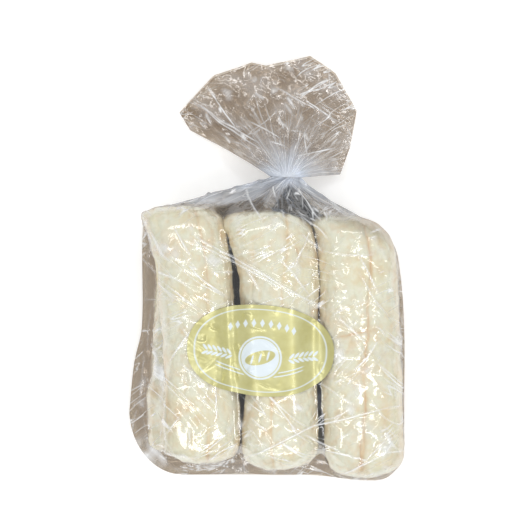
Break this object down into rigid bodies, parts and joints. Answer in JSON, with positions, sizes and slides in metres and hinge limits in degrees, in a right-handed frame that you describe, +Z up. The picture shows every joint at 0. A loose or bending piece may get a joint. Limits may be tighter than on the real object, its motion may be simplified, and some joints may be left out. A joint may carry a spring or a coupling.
{
  "type": "split top french bread",
  "caption": "Clear bag of long pale split top french loaves lying flat, gathered shut at a loose flared mouth, with an oval label on the film.",
  "frame": {"origin": "on the ground under the middle of the whole pack, mouth included", "axes": "+Z up, +Y along the loaves from the sealed end of the bag to its gathered mouth, +X to the right of the label"},
  "size_m": [0.2835, 0.4376, 0.1157],
  "materials": {
    "film": "clear crinkled film over pale bread",
    "label": "satin pale gold print",
    "crust": "soft pale crust"
  },
  "bodies": {
    "root": {"bag": "film", "label": "label"}
  },
  "joints": []
}
